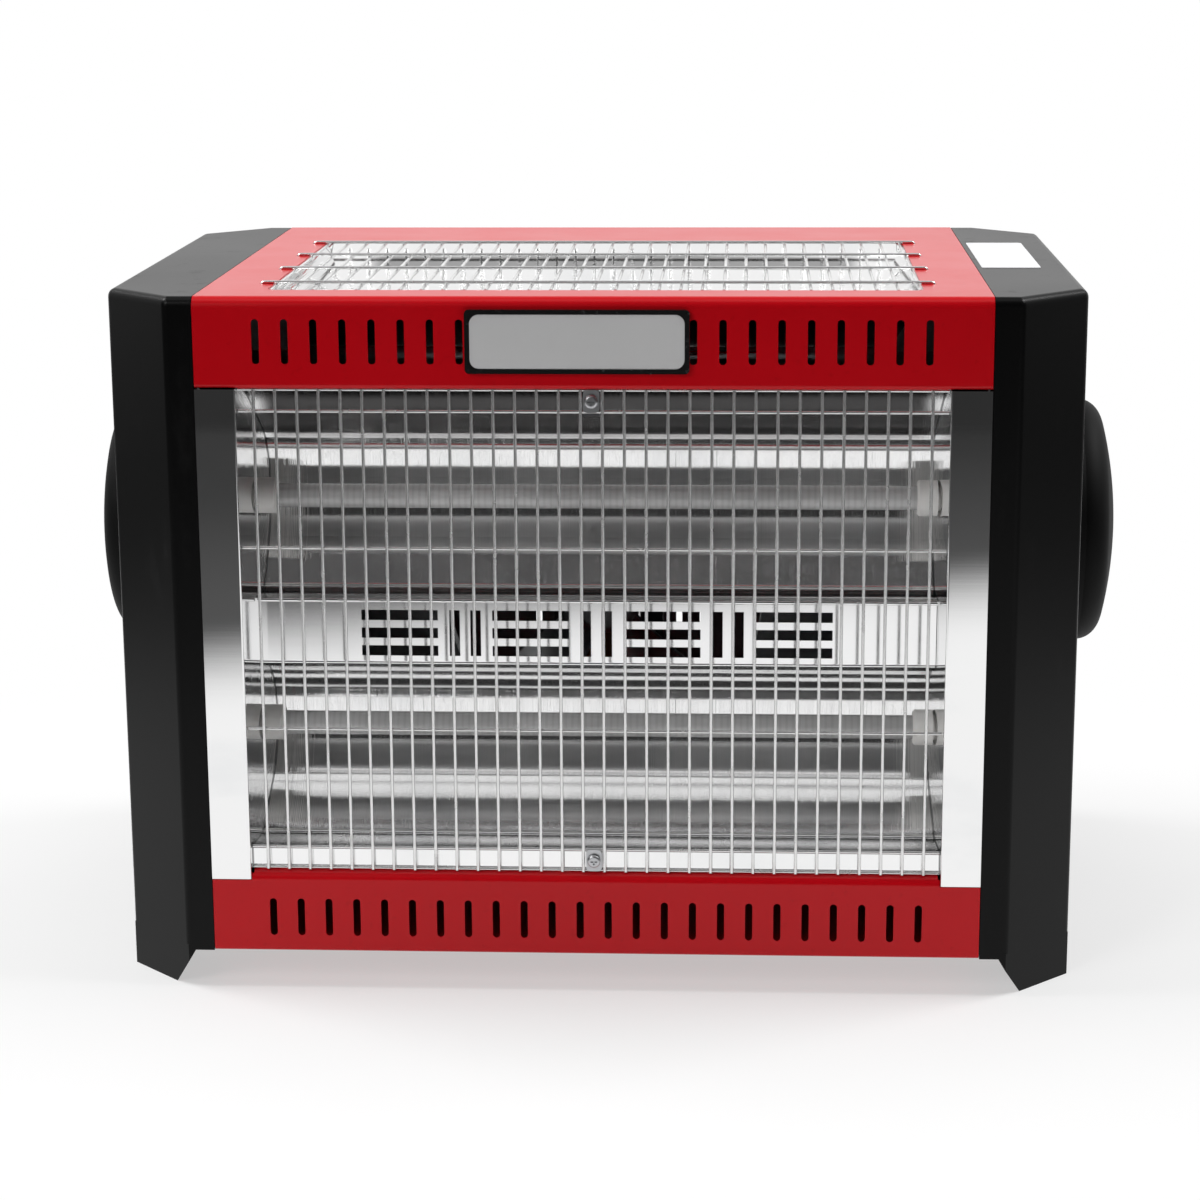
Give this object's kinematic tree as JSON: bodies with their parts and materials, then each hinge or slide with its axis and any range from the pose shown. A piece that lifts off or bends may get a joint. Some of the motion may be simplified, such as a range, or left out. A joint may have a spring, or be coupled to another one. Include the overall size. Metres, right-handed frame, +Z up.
{
  "type": "fan heater",
  "caption": "Free-standing quartz radiant heater with a red sheet hood and base, black end caps with round covers, mirror reflectors behind wire grilles, and a fan inside.",
  "frame": {"origin": "centre of the base, on the floor under the feet", "axes": "+X to the right seen from the front, +Y towards the rear panel, +Z up; the wire guard faces -Y"},
  "size_m": [0.5102, 0.3084, 0.3335],
  "materials": {
    "red_paint": "gloss",
    "black_plastic": "fine grain",
    "mirror_steel": "polished",
    "plated_wire": "bright plated",
    "screw_steel": "zinc plated",
    "galvanised_sheet": "galvanised",
    "badge_silver": "satin",
    "badge_black": "gloss",
    "sticker_film": "satin",
    "milky_quartz": "milky",
    "heating_wire": "oxidised",
    "white_ceramic": "matt",
    "fan_aluminium": "mill",
    "laminations": "oiled",
    "copper_winding": "enamelled",
    "zinc_casting": "as cast",
    "gland_rubber": "matt",
    "block_plastic": "matt",
    "switch_black": "gloss",
    "rocker_black": "gloss"
  },
  "bodies": {
    "casing": {"badge_face": "badge_silver", "badge_frame": "badge_black", "base_pan": "red_paint", "cap_screws": "screw_steel", "cord_gland": "gland_rubber", "element_nuts": "screw_steel", "fan_shroud": "galvanised_sheet", "fan_switch": "switch_black", "front_grille": "plated_wire", "grille_clips": "screw_steel", "grille_screws": "screw_steel", "hood": "red_paint", "left_chassis_plate": "galvanised_sheet", "left_dome": "black_plastic", "left_end_cap": "black_plastic", "left_trim": "mirror_steel", "lower_coil": "heating_wire", "lower_left_ceramic": "white_ceramic", "lower_reflector": "mirror_steel", "lower_right_ceramic": "white_ceramic", "lower_switch": "switch_black", "lower_tube": "milky_quartz", "motor_bracket": "galvanised_sheet", "motor_front_bearing": "zinc_casting", "motor_rear_bearing": "zinc_casting", "motor_screws": "screw_steel", "motor_stator": "laminations", "motor_winding": "copper_winding", "rear_panel": "galvanised_sheet", "rear_screws": "screw_steel", "right_chassis_plate": "galvanised_sheet", "right_dome": "black_plastic", "right_end_cap": "black_plastic", "right_trim": "mirror_steel", "sticker": "sticker_film", "terminal_block": "block_plastic", "thermal_cutout": "block_plastic", "top_coil": "heating_wire", "top_grille": "plated_wire", "top_left_ceramic": "white_ceramic", "top_reflector": "mirror_steel", "top_right_ceramic": "white_ceramic", "top_switch": "switch_black", "top_tube": "milky_quartz", "upper_coil": "heating_wire", "upper_left_ceramic": "white_ceramic", "upper_reflector": "mirror_steel", "upper_right_ceramic": "white_ceramic", "upper_switch": "switch_black", "upper_tube": "milky_quartz", "vent_plate": "mirror_steel"},
    "fan": {"impeller": "fan_aluminium", "motor_shaft": "screw_steel", "motor_rotor": "laminations"},
    "upper_rocker": {"upper_rocker": "rocker_black"},
    "lower_rocker": {"lower_rocker": "rocker_black"},
    "top_rocker": {"top_rocker": "rocker_black"},
    "fan_rocker": {"fan_rocker": "rocker_black"}
  },
  "joints": [
    {"name": "fan_spin", "type": "hinge", "parent": "casing", "child": "fan", "pos_m": [0, 0.0125, 0.168], "axis": [0, 1, 0], "continuous": true},
    {"name": "upper_rocker_tilt", "type": "hinge", "parent": "casing", "child": "upper_rocker", "pos_m": [0.2434, 0, 0.23375], "axis": [0, 0, -1], "range_deg": [0, 16]},
    {"name": "lower_rocker_tilt", "type": "hinge", "parent": "casing", "child": "lower_rocker", "pos_m": [0.2434, 0, 0.21125], "axis": [0, 0, -1], "range_deg": [0, 16]},
    {"name": "top_rocker_tilt", "type": "hinge", "parent": "casing", "child": "top_rocker", "pos_m": [0.2434, 0, 0.18875], "axis": [0, 0, -1], "range_deg": [0, 16]},
    {"name": "fan_rocker_tilt", "type": "hinge", "parent": "casing", "child": "fan_rocker", "pos_m": [0.2434, 0, 0.16625], "axis": [0, 0, -1], "range_deg": [0, 16]}
  ]
}
